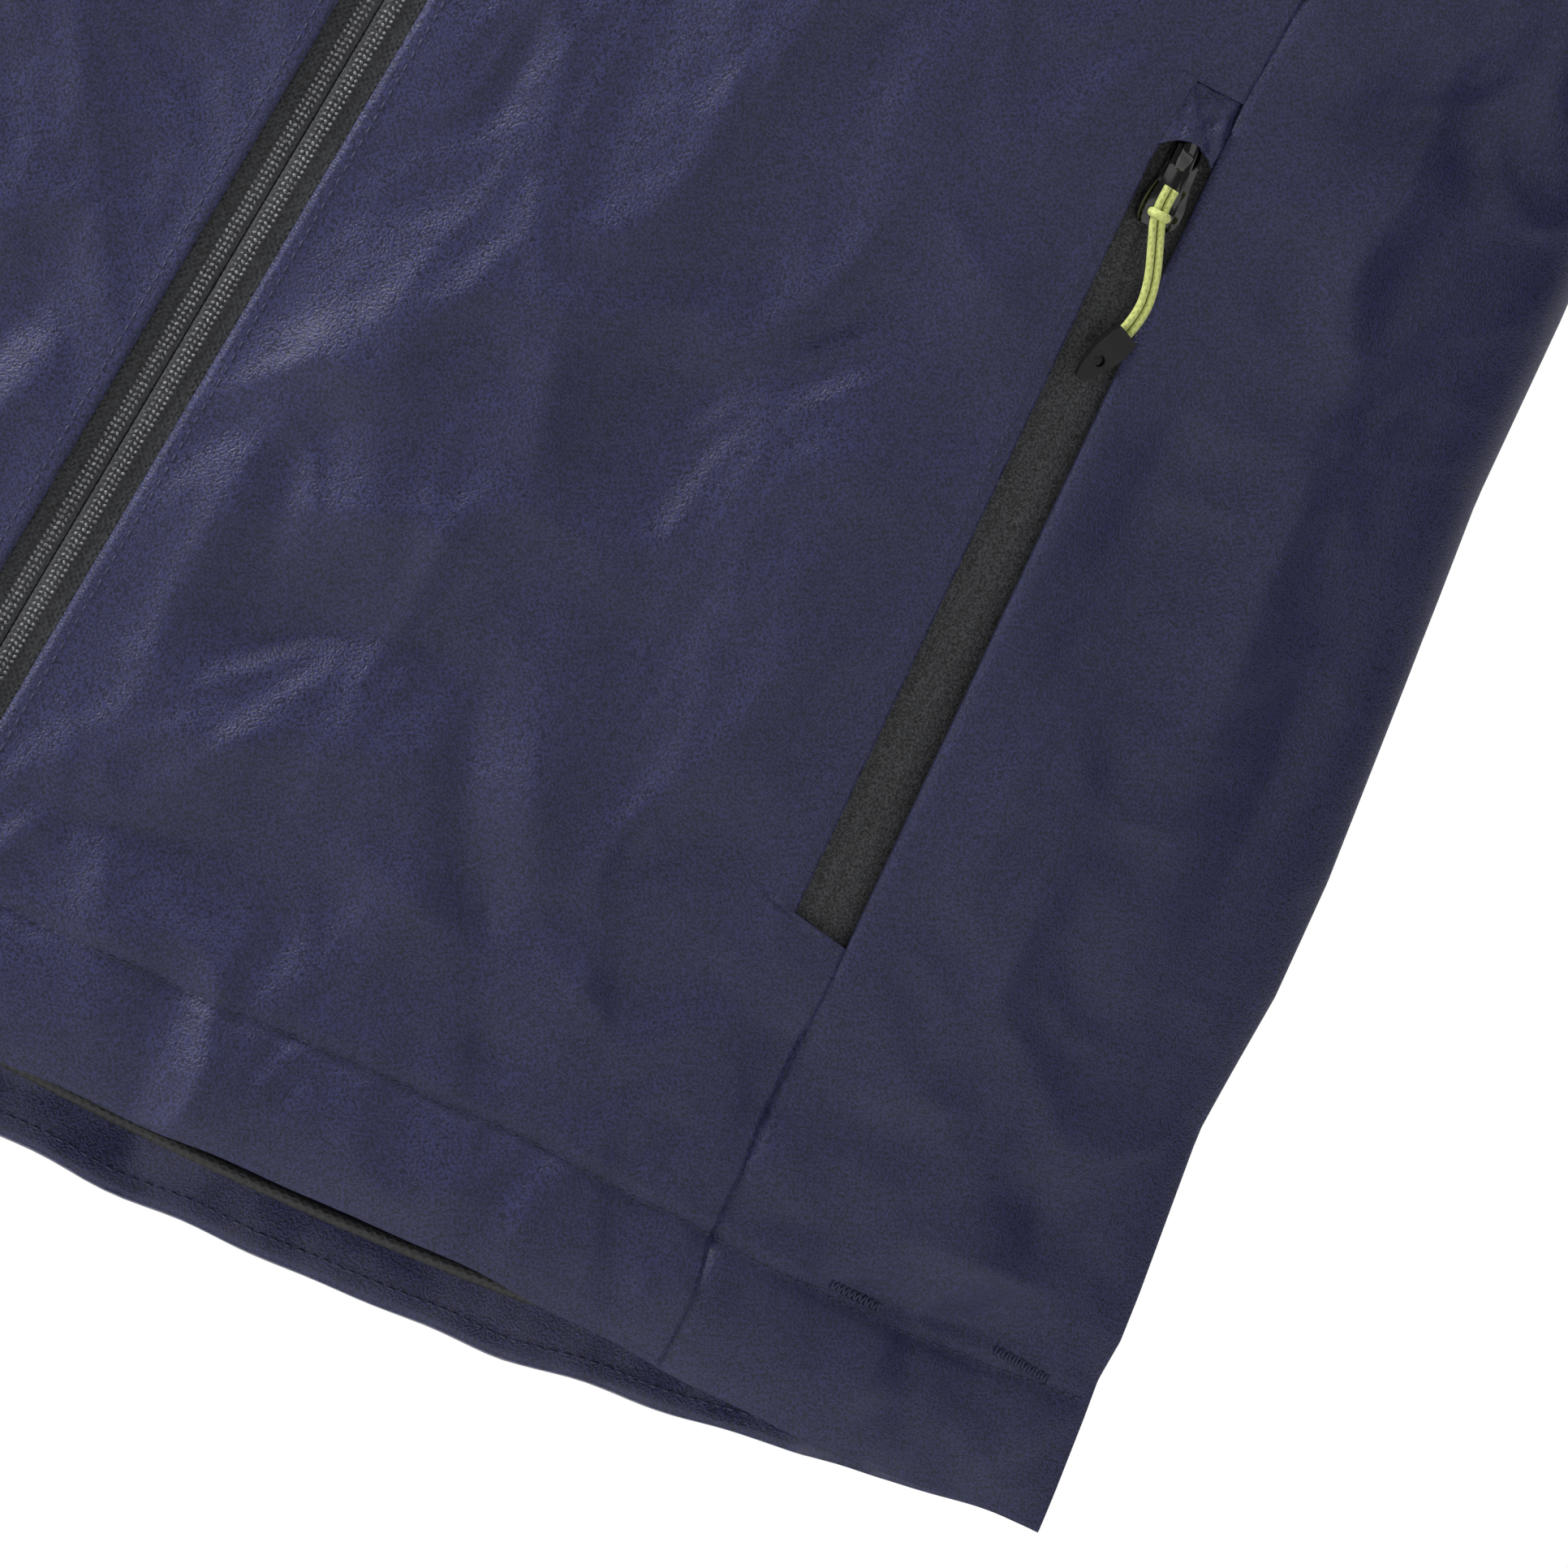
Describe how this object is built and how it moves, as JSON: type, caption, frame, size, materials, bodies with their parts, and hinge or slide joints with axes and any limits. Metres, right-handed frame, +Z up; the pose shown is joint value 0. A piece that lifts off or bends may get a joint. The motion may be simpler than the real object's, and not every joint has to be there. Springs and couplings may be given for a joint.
{
  "type": "foul weather jacket",
  "caption": "Hooded sailing jacket with high collar, full front zip, slanted zip pockets with cord pulls, drop-tail hem and tabbed cuffs, upright as it hangs.",
  "frame": {"origin": "middle of the hanging loop's gap, inside the back of the neck", "axes": "+Z up, +X the wearer's left, the front of the jacket faces -Y"},
  "size_m": [0.9906, 0.2818, 1.043],
  "materials": {
    "shell_fabric": "satin",
    "reinforced_fabric": "matt",
    "mesh_lining": "matt",
    "fleece": "matt",
    "webbing": "matt",
    "thread": "satin",
    "elastic": "matt",
    "zip_tape": "matt",
    "zip_coil": "satin",
    "slider_metal": "gloss",
    "pull_cord": "satin",
    "pull_plastic": "matt",
    "seal_rubber": "matt"
  },
  "bodies": {
    "jacket_body": {"front_panel_left": "shell_fabric", "front_panel_right": "shell_fabric", "side_panel_left": "shell_fabric", "side_panel_right": "shell_fabric", "back_panel": "shell_fabric", "back_yoke": "shell_fabric", "collar": "shell_fabric", "hem_facing": "shell_fabric", "hood_neck_band": "shell_fabric", "pocket_garage_left": "shell_fabric", "pocket_garage_right": "shell_fabric", "storm_flap": "shell_fabric", "lining": "mesh_lining", "pocket_bag_left": "mesh_lining", "pocket_bag_right": "mesh_lining", "collar_lining": "fleece", "hanging_loop": "webbing", "hem_bar_tacks": "thread", "hem_elastic": "elastic", "main_zip_tape_left": "zip_tape", "main_zip_tape_right": "zip_tape", "pocket_zip_tape_left": "zip_tape", "pocket_zip_tape_right": "zip_tape", "main_zip_coil_left": "zip_coil", "main_zip_coil_right": "zip_coil", "main_zip_top_stops": "zip_coil", "main_zip_box": "zip_coil", "main_zip_pin": "zip_coil", "pocket_zip_coil_left": "zip_coil", "pocket_zip_coil_right": "zip_coil"},
    "main_slider": {"main_slider": "slider_metal"},
    "main_pull_tab": {"main_pull_tab": "slider_metal"},
    "hood": {"hood_centre": "shell_fabric", "hood_side_left": "shell_fabric", "hood_side_right": "shell_fabric", "hood_peak": "shell_fabric"},
    "sleeve_left": {"sleeve_upper_left": "shell_fabric", "sleeve_lower_left": "reinforced_fabric", "cuff_left": "shell_fabric", "cuff_seal_left": "seal_rubber"},
    "cuff_tab_left": {"cuff_tab_left": "webbing"},
    "pocket_slider_left": {"pocket_slider_left": "slider_metal"},
    "pocket_pull_left": {"pocket_pull_cord_a_left": "pull_cord", "pocket_pull_cord_b_left": "pull_cord", "pocket_pull_end_left": "pull_plastic"},
    "sleeve_right": {"sleeve_upper_right": "shell_fabric", "sleeve_lower_right": "reinforced_fabric", "cuff_right": "shell_fabric", "cuff_seal_right": "seal_rubber"},
    "cuff_tab_right": {"cuff_tab_right": "webbing"},
    "pocket_slider_right": {"pocket_slider_right": "slider_metal"},
    "pocket_pull_right": {"pocket_pull_cord_a_right": "pull_cord", "pocket_pull_cord_b_right": "pull_cord", "pocket_pull_end_right": "pull_plastic"}
  },
  "joints": [
    {"name": "main_zip_slide", "type": "slide", "parent": "jacket_body", "child": "main_slider", "axis": [0, 0, -1], "range_m": [0, 0.757]},
    {"name": "main_tab_swing", "type": "hinge", "parent": "main_slider", "child": "main_pull_tab", "pos_m": [0, -0.1514, 0.055], "axis": [-1, 0, 0], "range_deg": [0, 165]},
    {"name": "hood_tilt", "type": "hinge", "parent": "jacket_body", "child": "hood", "pos_m": [0, 0.031, 0.012], "axis": [-1, 0, 0], "range_deg": [0, 70]},
    {"name": "pocket_zip_slide_left", "type": "slide", "parent": "jacket_body", "child": "pocket_slider_left", "axis": [0.0953, 0.0359, -0.9948], "range_m": [0, 0.15]},
    {"name": "pocket_pull_swing_left", "type": "hinge", "parent": "pocket_slider_left", "child": "pocket_pull_left", "pos_m": [0.15352, -0.12842, -0.44839], "axis": [-0.9399, -0.326, -0.1018], "range_deg": [0, 150]},
    {"name": "sleeve_lift_left", "type": "hinge", "parent": "jacket_body", "child": "sleeve_left", "pos_m": [0.2053, -0.07, -0.054], "axis": [0, -1, 0], "range_deg": [0, 30]},
    {"name": "cuff_tab_peel_left", "type": "hinge", "parent": "sleeve_left", "child": "cuff_tab_left", "pos_m": [0.48165, -0.1157, -0.61244], "axis": [-0.3746, 0, 0.9272], "range_deg": [0, 120]},
    {"name": "pocket_zip_slide_right", "type": "slide", "parent": "jacket_body", "child": "pocket_slider_right", "axis": [-0.0953, 0.0359, -0.9948], "range_m": [0, 0.15]},
    {"name": "pocket_pull_swing_right", "type": "hinge", "parent": "pocket_slider_right", "child": "pocket_pull_right", "pos_m": [-0.15352, -0.12842, -0.44839], "axis": [-0.9399, 0.326, 0.1018], "range_deg": [0, 150]},
    {"name": "sleeve_lift_right", "type": "hinge", "parent": "jacket_body", "child": "sleeve_right", "pos_m": [-0.2053, -0.07, -0.054], "axis": [0, 1, 0], "range_deg": [0, 30]},
    {"name": "cuff_tab_peel_right", "type": "hinge", "parent": "sleeve_right", "child": "cuff_tab_right", "pos_m": [-0.48165, -0.1157, -0.61244], "axis": [-0.3746, 0, -0.9272], "range_deg": [0, 120]}
  ]
}
